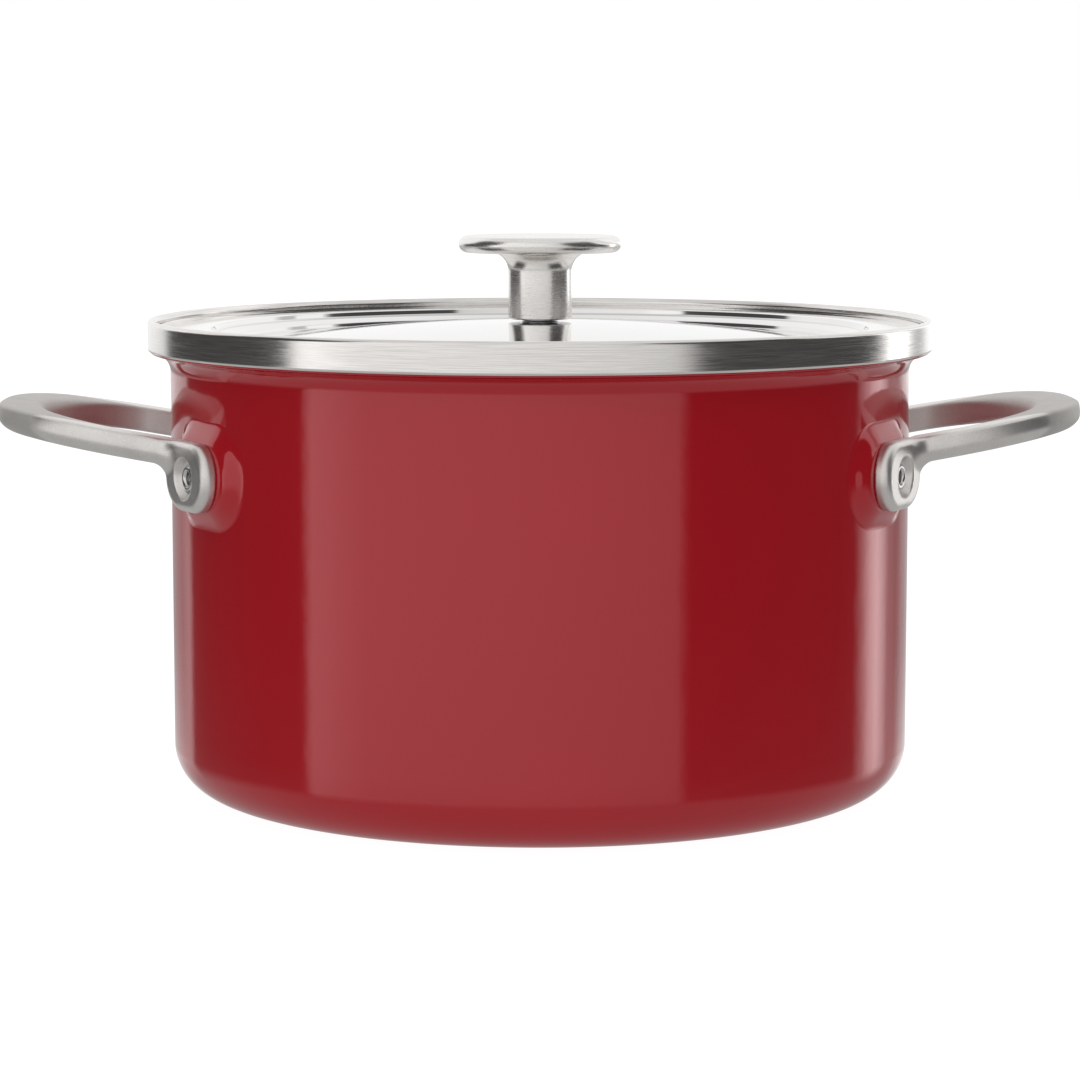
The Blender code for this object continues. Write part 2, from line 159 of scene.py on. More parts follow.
# Countersink in each lug: a cone, then a step to the bore
SINK_R = 0.0067
SINK_TAPER = 0.0013
SINK_DEPTH = 0.0026
SINK_STEP = 0.0019
SINK_STEP_T = 0.0006
SINK_EDGE = 0.00035

# Rivets
SHANK_R = 0.0032
RIVET_BORE_R = 0.0021
RIVET_ROLL = 0.0011       # radius of the rolled end
RIVET_BORE_DEPTH = 0.0042
RIVET_BELOW_LUG = 0.0014  # how far the rolled end stays behind the lug's face
RIVET_HEAD_R = 0.0070
RIVET_HEAD_T = 0.0022
RIVET_HEAD_RIM = 0.0004
RIVET_SEAT_GAP = 0.0009

# Handle loops
GRIP_X = HANDLE_HIGH.x
LOOP_HALF_W = 0.0545
BAR_T = 0.0090
BAR_EDGE = 0.0013
BAR_UNDER_EDGE = 0.0042
BAR_BULGE = 0.0008        # how far the outer face draws in at its top and bottom
BAR_CROWN = 0.0003        # fall of the top towards its edges
BAR_ROOT_X = 0.1250
BAR_ROOT_TOP = 0.1222
BAR_SLOPE = 0.172
GRIP_LEVEL = 0.65
GRIP_FALL = 0.0010
GRIP_EDGE = 0.0024        # further rounding of the inner edge, where fingers hold it
GRIP_EDGE_X = 0.1460      # where that begins
GRIP_EDGE_RUN = 0.0180    # and the length over which it grows
LOOP_A = 0.0700
LOOP_POWER = 2.75
HOLE_X = 0.1640
HOLE_HALF_W = 0.0415
HOLE_A = 0.0300
HOLE_POWER = 1.9

# Fineness of the meshes
ROUND_STEPS = 384
KNOB_STEPS = 160
SMALL_STEPS = 64
HANDLE_CELL = 0.0005
PAD_CELL = 0.0006
NET_PASSES = 4            # steps that bring a net's points onto the surface
CORNER_SHARE = 0.48       # most of a side that one rounded corner may take
ON_AXIS = 1e-7            # a smaller radius counts as on the axis

# Camera and studio
CAMERA_DISTANCE = 1.1389
CAMERA_HEIGHT = 0.2206
CAMERA_TURN = 0.026       # the pot stands turned by this much from the camera's axis
CAMERA_PITCH = 0.1211
CAMERA_LENS = 114.04
FLOOR_LIGHT = 0.45        # brightness of the floor as the pot sees it
FLOOR_WHITE = 0.97        # and as the camera sees it
FLOOR_DROP = 0.0002
FLOOR_R = 9.0


# ---------------------------------------------------------------------------
# Materials
# ---------------------------------------------------------------------------

class Nodes:
    """A small helper to write node trees in few lines."""

    def __init__(self, tree):
        self.tree = tree

    def add(self, kind, inputs=None, **settings):
        node = self.tree.nodes.new(kind)
        for key, value in settings.items():
            setattr(node, key, value)
        for key, value in (inputs or {}).items():
            self.put(node.inputs[key], value)
        return node

    def put(self, socket, value):
        if isinstance(value, bpy.types.NodeSocket):
            self.tree.links.new(value, socket)
        else:
            socket.default_value = value

    def math(self, operation, a, b=0.0, clamp=False):
        node = self.add("ShaderNodeMath", {0: a, 1: b}, operation=operation)
        node.use_clamp = clamp
        return node.outputs[0]

    def smooth(self, value, low, high):
        """0 below low and 1 above high, or the other way round."""
        inputs = {"Value": value, "From Min": low, "From Max": high}
        node = self.add("ShaderNodeMapRange", inputs, interpolation_type="SMOOTHSTEP")
        return node.outputs[0]

    def mix(self, factor, a, b):
        node = self.add("ShaderNodeMix", data_type="FLOAT")
        self.put(node.inputs[0], factor)
        self.put(node.inputs[2], a)
        self.put(node.inputs[3], b)
        return node.outputs[0]

    def tint(self, factor, a, b):
        node = self.add("ShaderNodeMix", data_type="RGBA")
        self.put(node.inputs[0], factor)
        self.put(node.inputs[6], (*a, 1.0) if isinstance(a, tuple) else a)
        self.put(node.inputs[7], (*b, 1.0) if isinstance(b, tuple) else b)
        return node.outputs[2]

    def noise(self, vector, scale, detail=2.0, roughness=0.5):
        inputs = {"Vector": vector, "Scale": scale, "Detail": detail, "Roughness": roughness}
        return self.add("ShaderNodeTexNoise", inputs).outputs["Fac"]

    def bump(self, height, strength, distance, normal=None):
        inputs = {"Height": height, "Strength": strength, "Distance": distance}
        if normal is not None:
            inputs["Normal"] = normal
        return self.add("ShaderNodeBump", inputs).outputs["Normal"]

    def place(self):
        """Object coordinates, which are the frame's own metres."""
        return self.add("ShaderNodeTexCoord").outputs["Object"]

    def split(self, vector):
        return self.add("ShaderNodeSeparateXYZ", {0: vector}).outputs

    def join(self, x, y, z):
        return self.add("ShaderNodeCombineXYZ", {0: x, 1: y, 2: z}).outputs[0]


def new_material(name):
    material = bpy.data.materials.new(name)
    material.use_nodes = True
    nodes = Nodes(material.node_tree)
    shader = material.node_tree.nodes["Principled BSDF"]
    return material, nodes, shader


def around(nodes, turn_scale, radial_scale, height_scale):
    """Coordinates for a grain that runs round the Z axis."""
    x, y, z = nodes.split(nodes.place())
    radius = nodes.math("SQRT", nodes.math("ADD", nodes.math("MULTIPLY", x, x),
                                           nodes.math("MULTIPLY", y, y)))
    angle = nodes.math("ARCTAN2", y, x)
    return nodes.join(nodes.math("MULTIPLY", angle, turn_scale),
                      nodes.math("MULTIPLY", radius, radial_scale),
                      nodes.math("MULTIPLY", z, height_scale))


def enamel_material():
    """Deep red vitreous enamel: glassy, with a faint ripple and orange peel."""
    material, nodes, shader = new_material("red_enamel")
    place = nodes.place()
    drift = nodes.noise(place, scale=14.0, detail=3.0)
    color = nodes.tint(drift, (0.432, 0.0066, 0.0140), (0.476, 0.0082, 0.0172))
    nodes.put(shader.inputs["Base Color"], color)
    peel = nodes.noise(place, scale=900.0)
    ripple = nodes.noise(place, scale=90.0)
    rough = nodes.mix(nodes.noise(place, scale=60.0, detail=3.0), 0.045, 0.085)
    nodes.put(shader.inputs["Roughness"], rough)
    soft = nodes.bump(ripple, strength=0.12, distance=0.0004)
    nodes.put(shader.inputs["Normal"], nodes.bump(peel, strength=0.05, distance=0.00004, normal=soft))
    shader.inputs["IOR"].default_value = 1.80
    shader.inputs["Specular Tint"].default_value = (1.0, 0.56, 0.58, 1.0)
    return material


def inner_enamel_material():
    """Charcoal enamel with fine pale specks, as inside many such pots."""
    material, nodes, shader = new_material("charcoal_enamel")
    place = nodes.place()
    specks = nodes.smooth(nodes.noise(place, scale=1400.0, detail=1.0), low=0.66, high=0.74)
    color = nodes.tint(specks, (0.028, 0.028, 0.030), (0.16, 0.16, 0.165))
    nodes.put(shader.inputs["Base Color"], color)
    rough = nodes.mix(nodes.noise(place, scale=70.0, detail=3.0), 0.22, 0.32)
    nodes.put(shader.inputs["Roughness"], rough)
    peel = nodes.noise(place, scale=700.0)
    nodes.put(shader.inputs["Normal"], nodes.bump(peel, strength=0.08, distance=0.00005))
    return material


def brushed_ring_material():
    """Steel brushed round the rim: fine lines along the band."""
    material, nodes, shader = new_material("brushed_ring_steel")
    fine = nodes.noise(around(nodes, 7.0, 5000.0, 5000.0), scale=1.0, detail=3.0, roughness=0.65)
    wide = nodes.noise(around(nodes, 3.0, 900.0, 900.0), scale=1.0)
    grain = nodes.math("ADD", nodes.math("MULTIPLY", fine, 0.85), nodes.math("MULTIPLY", wide, 0.15))
    streaks = nodes.smooth(grain, low=0.38, high=0.62)
    nodes.put(shader.inputs["Base Color"], nodes.tint(streaks, (0.68, 0.655, 0.63), (0.84, 0.82, 0.80)))
    rough = nodes.mix(nodes.smooth(grain, low=0.3, high=0.7), 0.11, 0.23)
    nodes.put(shader.inputs["Roughness"], rough)
    nodes.put(shader.inputs["Normal"], nodes.bump(grain, strength=0.26, distance=0.00006))
    shader.inputs["Metallic"].default_value = 1.0
    return material


def polished_material():
    """Mirror-polished steel with faint turning marks round the axis."""
    material, nodes, shader = new_material("polished_lid_steel")
    marks = nodes.noise(around(nodes, 5.0, 2600.0, 2600.0), scale=1.0)
    cloud = nodes.noise(nodes.place(), scale=40.0, detail=3.0)
    nodes.put(shader.inputs["Base Color"], nodes.tint(cloud, (0.775, 0.765, 0.755), (0.82, 0.81, 0.80)))
    nodes.put(shader.inputs["Roughness"], nodes.mix(marks, 0.035, 0.085))
    nodes.put(shader.inputs["Normal"], nodes.bump(marks, strength=0.05, distance=0.00003))
    shader.inputs["Metallic"].default_value = 1.0
    return material


def satin_material(name, light, dark, rough_low, rough_high, inside=0.0):
    """Blasted, lightly brushed steel; inside sets painted shade on a loop's inner faces, a darker tint
    standing for the pot's dark side mirrored there, and roughens them.
    """
    material, nodes, shader = new_material(name)
    place = nodes.place()
    grain = nodes.noise(place, scale=2600.0, detail=3.0, roughness=0.6)
    cloud = nodes.noise(place, scale=120.0, detail=3.0)
    mottle = nodes.math("ADD", nodes.math("MULTIPLY", grain, 0.6), nodes.math("MULTIPLY", cloud, 0.4))
    across = nodes.math("ABSOLUTE", nodes.split(place)[1])
    # Painted shade: where this mask holds, the colour is tinted towards dark grey (0.30, 0.30, 0.29),
    # standing for the pot's dark side mirrored in the loop's inner faces; the same mask also raises the
    # roughness.
    inner_shade_mask = nodes.smooth(across, low=HOLE_HALF_W + 0.0020, high=HOLE_HALF_W - 0.0010)
    inner_shade_mask = nodes.math("MULTIPLY", inner_shade_mask, inside)
    color = nodes.tint(nodes.smooth(mottle, low=0.35, high=0.65), dark, light)
    nodes.put(shader.inputs["Base Color"], nodes.tint(inner_shade_mask, color, (0.30, 0.30, 0.29)))
    rough = nodes.math("ADD", nodes.mix(cloud, rough_low, rough_high), inner_shade_mask)
    nodes.put(shader.inputs["Roughness"], rough)
    nodes.put(shader.inputs["Normal"], nodes.bump(grain, strength=0.22, distance=0.00010))
    shader.inputs["Metallic"].default_value = 1.0
    return material


def turned_knob_material():
    """Satin steel with the lathe's fine rings."""
    material, nodes, shader = new_material("turned_knob_steel")
    rings = nodes.noise(around(nodes, 2.2, 3600.0, 3600.0), scale=1.0, detail=3.0, roughness=0.6)
    grain = nodes.noise(nodes.place(), scale=2400.0)
    marks = nodes.math("ADD", nodes.math("MULTIPLY", rings, 0.65), nodes.math("MULTIPLY", grain, 0.35))
    color = nodes.tint(nodes.smooth(marks, low=0.35, high=0.65), (0.79, 0.77, 0.745), (0.89, 0.87, 0.85))
    nodes.put(shader.inputs["Base Color"], color)
    rough = nodes.mix(nodes.smooth(marks, low=0.3, high=0.7), 0.19, 0.29)
    nodes.put(shader.inputs["Roughness"], rough)
    nodes.put(shader.inputs["Normal"], nodes.bump(marks, strength=0.22, distance=0.00007))
    shader.inputs["Metallic"].default_value = 1.0
    return material


def floor_material():
    """A floor that looks plain white to the camera, and is dimmer as the pot sees it."""
    material, nodes, shader = new_material("studio_floor")
    seen = nodes.add("ShaderNodeLightPath").outputs["Is Camera Ray"]
    shader.inputs["Base Color"].default_value = (0.12, 0.12, 0.12, 1.0)
    shader.inputs["Roughness"].default_value = 0.9
    shader.inputs["Specular IOR Level"].default_value = 0.1
    shader.inputs["Emission Color"].default_value = (1.0, 1.0, 1.0, 1.0)
    nodes.put(shader.inputs["Emission Strength"], nodes.mix(seen, FLOOR_LIGHT, FLOOR_WHITE))
    return material


ENAMEL = enamel_material()
INSIDE = inner_enamel_material()
RING_STEEL = brushed_ring_material()
LID_STEEL = polished_material()
# The handles' inside value paints shade onto the loops' inner faces.
HANDLE_STEEL = satin_material("satin_handle_steel", light=(0.80, 0.775, 0.75), dark=(0.68, 0.655, 0.63),
                              rough_low=0.34, rough_high=0.42, inside=0.28)
RIVET_STEEL = satin_material("rivet_steel", light=(0.74, 0.73, 0.72), dark=(0.62, 0.61, 0.60),
                             rough_low=0.16, rough_high=0.26)
HARDWARE = satin_material("zinc_hardware", light=(0.66, 0.67, 0.69), dark=(0.55, 0.56, 0.58),
                          rough_low=0.28, rough_high=0.42)
KNOB_STEEL = turned_knob_material()


# ---------------------------------------------------------------------------
# Shape helpers
# ---------------------------------------------------------------------------

def arc(center_r, center_z, radius, start_deg, end_deg, count):
    """Points (r, z) along an arc, both ends included."""
    angles = np.radians(np.linspace(start_deg, end_deg, count + 1))
    return [(center_r + radius * math.cos(a), center_z + radius * math.sin(a)) for a in angles]


def eased(points, radius, count=6):
    """The line with each inner corner rounded, over at most radius along its sides."""
    line = [points[0]]
    for before, corner, after in zip(points, points[1:], points[2:]):
        before, corner, after = Vector(before), Vector(corner), Vector(after)
        shorter = min((before - corner).length, (after - corner).length)
        reach = min(radius, shorter * CORNER_SHARE)
        start = corner + (before - corner).normalized() * reach
        end = corner + (after - corner).normalized() * reach
        for i in range(count + 1):
            t = i / count
            point = start.lerp(corner, t).lerp(corner.lerp(end, t), t)
            line.append((point.x, point.y))
    line.append(points[-1])
    return line


def divided(start, end, count):
    """Points after start, up to and with end, evenly spaced."""
    return [(start[0] + (end[0] - start[0]) * i / count,
             start[1] + (end[1] - start[1]) * i / count) for i in range(1, count + 1)]


def new_object(name, verts, faces, material, sharp_deg=38):
    """A smooth mesh object, with edges sharper than sharp_deg kept crisp."""
    mesh = bpy.data.meshes.new(name)
    mesh.from_pydata([tuple(v) for v in verts], [], faces)
    mesh.materials.append(material)
    mesh.shade_smooth()
    mesh.set_sharp_from_angle(angle=math.radians(sharp_deg))
    obj = bpy.data.objects.new(name, mesh)
    bpy.context.scene.collection.objects.link(obj)
    return obj


def turned(name, profile, material, steps, closed=False, sharp_deg=38):
    """A solid turned about Z from (r, z) points that run outside top to bottom.

    A point on the axis becomes one vertex.
    """
    verts, rings = [], []
    for r, z in profile:
        if r < ON_AXIS:
            rings.append([len(verts)] * steps)
            verts.append((0.0, 0.0, z))
        else:
            rings.append(list(range(len(verts), len(verts) + steps)))
            angles = np.arange(steps) * 2 * math.pi / steps
            verts += [(r * math.cos(a), r * math.sin(a), z) for a in angles]
    pairs = list(zip(rings, rings[1:]))
    if closed:
        pairs.append((rings[-1], rings[0]))
    faces = []
    for upper, lower in pairs:
        for i in range(steps):
            j = (i + 1) % steps
            corners = [upper[i], lower[i], lower[j], upper[j]]
            face = list(dict.fromkeys(corners))
            if len(face) > 2:
                faces.append(face)
    return new_object(name, verts, faces, material, sharp_deg)


def radial(angle, distance, height):
    """Turns local +Z outwards along the radius at angle, and moves it there."""
    turn = Matrix.Rotation(angle, 4, "Z") @ Matrix.Rotation(math.pi / 2, 4, "Y")
    place = Vector((distance * math.cos(angle), distance * math.sin(angle), height))
    return Matrix.Translation(place) @ turn


def superellipse(x, y, a, b, power):
    """Nearly the distance to a superelliptic end, straight-sided behind x = 0."""
    u = np.maximum(x, 0.0) / a
    v = np.abs(y) / b
    g = np.maximum((u ** power + v ** power) ** (1.0 / power), 1e-9)
    slope = np.hypot((u / g) ** (power - 1.0) / a, (v / g) ** (power - 1.0) / b)
    return (g - 1.0) / np.maximum(slope, 1e-6)


def rounded_box(x, y, half_x, half_y, radius):
    """Distance to a rectangle with rounded corners, negative inside it."""
    qx = np.abs(x) - half_x + radius
    qy = np.abs(y) - half_y + radius
    outside = np.hypot(np.maximum(qx, 0.0), np.maximum(qy, 0.0))
    return outside + np.minimum(np.maximum(qx, qy), 0.0) - radius


def both(a, b, radius):
    """Intersection of two fields, its edge rounded."""
    corner = np.hypot(np.maximum(a + radius, 0.0), np.maximum(b + radius, 0.0))
    return np.minimum(np.maximum(a, b), -radius) + corner


def either(a, b, radius):
    """Union of two fields, with a fillet between them."""
    corner = np.hypot(np.maximum(radius - a, 0.0), np.maximum(radius - b, 0.0))
    return np.maximum(np.minimum(a, b), radius) - corner


def surface_net(field, low, high, cell):
    """The surface where field(x, y, z) is 0, as points and outward quads."""
    axes = [np.arange(a, b + cell, cell) for a, b in zip(low, high)]
    grid = field(*np.meshgrid(*axes, indexing="ij"))
    shape = [n - 1 for n in grid.shape]
    inside = grid < 0.0
    corners = [(i, j, k) for i in (0, 1) for j in (0, 1) for k in (0, 1)]

    def at(array, c):
        return array[c[0]:c[0] + shape[0], c[1]:c[1] + shape[1], c[2]:c[2] + shape[2]]

    count = sum(at(inside, c).astype(np.int8) for c in corners)
    cells = np.argwhere((count > 0) & (count < 8))
    index = np.full(shape, -1, np.int64)
    index[tuple(cells.T)] = np.arange(len(cells))
    total = np.zeros((len(cells), 3))
    crossings = np.zeros(len(cells))
    for c in corners:
        for axis in range(3):
            if c[axis]:
                continue
            d = list(c)
            d[axis] = 1
            f0 = grid[tuple((cells + c).T)]
            f1 = grid[tuple((cells + d).T)]
            cut = (f0 < 0.0) != (f1 < 0.0)
            t = np.where(cut, f0 / np.where(cut, f0 - f1, 1.0), 0.0)
            point = np.array(c, float) + t[:, None] * (np.array(d) - np.array(c))
            total += np.where(cut[:, None], point, 0.0)
            crossings += cut
    points = (cells + total / crossings[:, None]) * cell + np.array([a[0] for a in axes])
    points = onto_surface(field, points, cell)
    return points, net_faces(inside, index)


def onto_surface(field, points, cell):
    """Moves each point along the field's slope until it lies on the surface."""
    step = cell * 0.05
    for _ in range(NET_PASSES):
        value = field(*points.T)
        slope = np.stack([(field(*(points + step * axis).T) - field(*(points - step * axis).T))
                          / (2 * step) for axis in np.eye(3)], axis=1)
        length = np.maximum((slope ** 2).sum(1), 0.05)
        move = -(value / length)[:, None] * slope
        points = points + np.clip(move, -cell, cell)
    return points


def net_faces(inside, index):
    """One quad for each grid edge that crosses the surface."""
    faces = []
    for axis in range(3):
        u, v = (axis + 1) % 3, (axis + 2) % 3
        first = [slice(1, -1)] * 3
        second = [slice(1, -1)] * 3
        first[axis] = slice(0, -1)
        second[axis] = slice(1, None)
        start, end = inside[tuple(first)], inside[tuple(second)]
        for leaving in (True, False):
            edges = np.argwhere((start == leaving) & (end != leaving))
            edges[:, u] += 1
            edges[:, v] += 1
            ring = []
            for du, dv in ((-1, -1), (0, -1), (0, 0), (-1, 0)):
                cell = edges.copy()
                cell[:, u] += du
                cell[:, v] += dv
                ring.append(index[tuple(cell.T)])
            quads = np.stack(ring if leaving else ring[::-1], axis=1)
            faces += quads[(quads >= 0).all(1)].tolist()
    return faces


def finish_piece(obj, body, node):
    """Ties a piece to its body and the CAD node it stands for."""
    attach(obj, body)
    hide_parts(node)


# ---------------------------------------------------------------------------
# Body and rim ring
# ---------------------------------------------------------------------------

def neck_noise(angle, height, turn_scale, height_scale):
    """Smooth noise at a place on the neck, without a seam round it."""
    round_x = math.cos(angle) * turn_scale
    round_y = math.sin(angle) * turn_scale
    return noise.noise(Vector((round_x, round_y, height * height_scale)))


def neck_wave(angle, height):
    """Small unevenness of the drawn and enamelled neck, in metres outwards."""
    rise = np.clip((height - NECK_LOW) / NECK_RISE, 0.0, 1.0)
    fade = np.clip((NECK_HIGH - height) / NECK_FADE, 0.0, 1.0)
    side = max(abs(math.cos(angle)) - NECK_SIDE, 0.0) / (1.0 - NECK_SIDE)
    wide = neck_noise(angle, height, turn_scale=3.4, height_scale=46.0)
    fine = neck_noise(angle, height, turn_scale=11.0, height_scale=120.0)
    wave = wide + NECK_FINE * fine
    return wave * rise * fade * (NECK_SWELL + NECK_SIDE_SWELL * side)


def make_body():
    """Red outside and charcoal inside: one closed shell with its flare and upturned lip."""
    inside_r = WALL_R - WALL_T
    corner_in = CORNER_R - BASE_T
    flare_center = WALL_R + FLARE_R
    lip_in = LIP_R - LIP_T
    fine_below = 0.1230
    lip_middle = (lip_in + LIP_T / 2, LIP_TOP)
    # Outside: lip, flare, wall, rounded corner and base
    outer = eased([lip_middle, (LIP_R, LIP_TOP), (LIP_R, LIP_TOP - 0.001)], LIP_ROUND)
    outer += eased([(LIP_R, SHOULDER_Z + 0.0022), (LIP_R, SHOULDER_Z + 0.0002),
                    (flare_center - 0.0006, SHOULDER_Z)], LIP_FOLD)
    outer += arc(flare_center, FLARE_Z, FLARE_R, 94, 180, 22)
    outer += divided((WALL_R, FLARE_Z), (WALL_R, fine_below), 22)
    outer += divided((WALL_R, fine_below), (WALL_R, CORNER_R), 16)
    outer += arc(WALL_R - CORNER_R, CORNER_R, CORNER_R, 0, -90, 20)[1:]
    outer += divided((WALL_R - CORNER_R, 0.0), (0.0, 0.0), 6)
    # Inside, from the middle of the base up to the lip
    inner = divided((0.0, BASE_T), (inside_r - corner_in, BASE_T), 6)
    inner = [(0.0, BASE_T)] + inner
    inner += arc(inside_r - corner_in, BASE_T + corner_in, corner_in, -90, 0, 16)[1:]
    inner += divided((inside_r, CORNER_R), (inside_r, FLARE_Z), 10)
    inner += arc(flare_center, FLARE_Z, FLARE_R + WALL_T, 180, 100, 14)[1:]
    inner += eased([(lip_in, SHOULDER_Z + 0.0030), (lip_in, LIP_TOP), lip_middle], LIP_ROUND)[:-1]
    body = turned("body_shell", outer + inner, ENAMEL, ROUND_STEPS, closed=True, sharp_deg=60)
    body.data.materials.append(INSIDE)
    for vertex in body.data.vertices:
        x, y, z = vertex.co
        radius = math.hypot(x, y)
        if radius > WALL_R - 0.0004 and z > NECK_LOW:
            moved = radius + neck_wave(math.atan2(y, x), z)
            vertex.co.x *= moved / radius
            vertex.co.y *= moved / radius
    rim = SHOULDER_Z + WALL_T
    for face in body.data.polygons:
        middle = face.center
        radius = math.hypot(middle.x, middle.y)
        inward = face.normal.x * middle.x + face.normal.y * middle.y < 0.0
        base = face.normal.z > 0.5 and middle.z < FLARE_Z
        if middle.z < rim and ((inward and radius < WALL_R) or base):
            face.material_index = 1
    finish_piece(body, "pot", "pot_body")


def make_rim_ring():
    """The brushed ring, with its bead on top and its groove over the pot's lip."""
    bead = RING_BEAD / 2
    inner = RING_R - RING_BEAD
    outer_leg = RING_R - RING_LEG_T
    inner_leg = inner + RING_LEG_T
    groove_top = LIP_TOP + RING_LIP_GAP
    foot_z = RING_LOW + RING_FOOT_R * math.sin(math.radians(RING_FOOT_TURN))
    # Inner slope, crest, bead and brushed band
    profile = [(inner, RING_INNER_LOW + 0.0004)]
    crest = arc(inner + bead, RING_TOP - RING_CREST_R, RING_CREST_R, 140, 90, 8)
    profile += eased([(inner, RING_INNER_TOP - 0.0008), (inner, RING_INNER_TOP), crest[0]], 0.0003)
    profile += crest[1:]
    profile += arc(inner + bead, RING_TOP - bead, bead, 90, 0, 16)[1:]
    profile += divided((RING_R, RING_TOP - bead), (RING_R, foot_z), 12)
    # Curled foot, then the groove for the lip, and the inner leg's lower edge
    profile += arc(RING_R - RING_FOOT_R, foot_z, RING_FOOT_R, 0, -RING_FOOT_TURN, 10)[1:]
    profile += [(outer_leg - 0.0003, foot_z - 0.0002), (outer_leg, foot_z + 0.0004)]
    profile += [(outer_leg, groove_top), (inner_leg, groove_top)]
    profile += eased([(inner_leg, RING_INNER_LOW + 0.0006), (inner_leg, RING_INNER_LOW),
                      (inner, RING_INNER_LOW), profile[0]], RING_LEG_ROUND, 3)[:-1]
    ring = turned("rim_band", profile, RING_STEEL, ROUND_STEPS, closed=True)
    finish_piece(ring, "pot", "rim_ring")


# ---------------------------------------------------------------------------
# Lid, knob and their fasteners
# ---------------------------------------------------------------------------

def offset_below(points, distance):
    """The same line moved to its lower side by a sheet's thickness."""
    moved = []
    for i, (r, z) in enumerate(points):
        before = Vector(points[max(i - 1, 0)])
        after = Vector(points[min(i + 1, len(points) - 1)])
        along = (after - before).normalized()
        moved.append((r + along.y * distance, z - along.x * distance))
    return moved


def make_lid():
    """The pressed sheet: dome, valley, two steps, ledge and rolled-down skirt."""
    dome_r, dome_z = LID_STEPS[0]
    dome_steps = 28
    dome = []
    for i in range(dome_steps):
        r = SCREW_HOLE_R + (dome_r - LID_DOME_MARGIN - SCREW_HOLE_R) * i / dome_steps
        dome.append((r, LID_APEX - (LID_APEX - dome_z) * (r / dome_r) ** 2))
    steps = eased([dome[-1], *LID_STEPS, (LID_R, LID_LEDGE), (LID_R, LID_LEDGE - LID_ROLL)], LID_EASE)
    top = dome[:-1] + steps
    under = offset_below(top, LID_T)
    under[0] = (SCREW_HOLE_R, under[0][1])
    skirt = eased([(LID_R, LID_SKIRT_LOW + 0.0008), (LID_R, LID_SKIRT_LOW),
                   (LID_R - LID_T, LID_SKIRT_LOW), (LID_R - LID_T, LID_SKIRT_LOW + 0.0008)], 0.0003, 3)
    lid = turned("lid_sheet", top + skirt + under[::-1], LID_STEEL, ROUND_STEPS, closed=True)
    finish_piece(lid, "lid", "lid_pan")


def make_knob():
    """A disc with a rounded edge and a faint dish on top, on a stem with a blind bore."""
    under_r = KNOB_STEM_R + KNOB_FILLET
    edge_z = KNOB_UNDER + KNOB_EDGE_R
    bore_top = KNOB_FOOT + BORE_DEPTH
    dish_steps = 12
    # Dished top
    profile = []
    for i in range(dish_steps + 1):
        t = i / dish_steps
        profile.append((KNOB_DISH_R * i / dish_steps, KNOB_TOP - KNOB_DISH * (1 - t ** 2) ** 2))
    # Rounded edge, hollow underside and stem
    profile += arc(KNOB_R - KNOB_EDGE_R, edge_z, KNOB_EDGE_R, 90, -86, 30)
    profile += arc(under_r, KNOB_UNDER - KNOB_FILLET, KNOB_FILLET, 90, 180, 20)
    foot = (KNOB_STEM_R, KNOB_FOOT + KNOB_CHAMFER)
    profile += divided((KNOB_STEM_R, KNOB_UNDER - KNOB_FILLET), foot, 6)
    # Chamfered foot and blind bore
    profile += eased([foot, (KNOB_STEM_R - KNOB_CHAMFER, KNOB_FOOT), (BORE_R + BORE_EDGE, KNOB_FOOT),
                      (BORE_R, KNOB_FOOT + BORE_EDGE)], 0.0002, 3)
    profile += [(BORE_R, bore_top), (0.0, bore_top)]
    knob = turned("knob_turning", profile, KNOB_STEEL, KNOB_STEPS)
    finish_piece(knob, "lid", "knob")


def make_washer(name, node):
    """A flat washer with rounded edges, the size of its CAD node."""
    low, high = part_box(node)
    edge = 0.00012
    section = [(BORE_R, low.z + edge), (BORE_R, high.z), (high.x, high.z), (high.x, low.z),
               (BORE_R, low.z), (BORE_R, low.z + edge)]
    washer = turned(name, eased(section, edge, 3)[:-1], HARDWARE, SMALL_STEPS, closed=True)
    finish_piece(washer, "lid", node)


def make_screw():
    """A pan-head screw with a cross recess, from below."""
    low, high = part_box("knob_screw")
    head_r = high.x
    head_top = low.z + SCREW_HEAD_T
    thread_top = high.z - SCREW_TIP
    # Tip and thread, each turn with a flat crest and a sharp root
    profile = [(0.0, high.z), (SCREW_R - SCREW_TIP, high.z)]
    for i in range(int((thread_top - head_top) / THREAD_PITCH)):
        crest = thread_top - THREAD_PITCH * i
        profile += [(SCREW_R, crest - THREAD_PITCH * 0.1), (SCREW_R, crest - THREAD_PITCH * 0.35)]
        profile += [(SCREW_R - THREAD_DEPTH, crest - THREAD_PITCH * 0.7)]
    # Pan head
    profile += [(SCREW_R, head_top), (head_r, head_top)]
    profile += arc(head_r - SCREW_HEAD_ROUND, low.z + SCREW_HEAD_ROUND, SCREW_HEAD_ROUND, 0, -80, 10)
    profile += [(head_r * 0.5, low.z + 0.00003), (0.0, low.z)]
    screw = turned("lid_screw", profile, HARDWARE, SMALL_STEPS)
    for turn in (0.0, math.pi / 2):
        bpy.ops.mesh.primitive_cube_add(size=1.0)
        blade = bpy.context.object
        blade.data.transform(Matrix.Translation((0.0, 0.0, low.z)) @ Matrix.Rotation(turn, 4, "Z")
                             @ Matrix.Diagonal((*RECESS_BLADE, 1.0)))
        cut = screw.modifiers.new("recess", "BOOLEAN")
        cut.operation = "DIFFERENCE"
        cut.object = blade
        apply_modifiers(screw)
        bpy.data.objects.remove(blade, do_unlink=True)
    finish_piece(screw, "lid", "knob_screw")


def apply_modifiers(obj):
    """Bakes the object's modifiers into its mesh."""
    bpy.context.view_layer.update()
    evaluated = obj.evaluated_get(bpy.context.evaluated_depsgraph_get())
    obj.data = bpy.data.meshes.new_from_object(evaluated)
    obj.modifiers.clear()


# ---------------------------------------------------------------------------
# Pads, handles and rivets
# ---------------------------------------------------------------------------

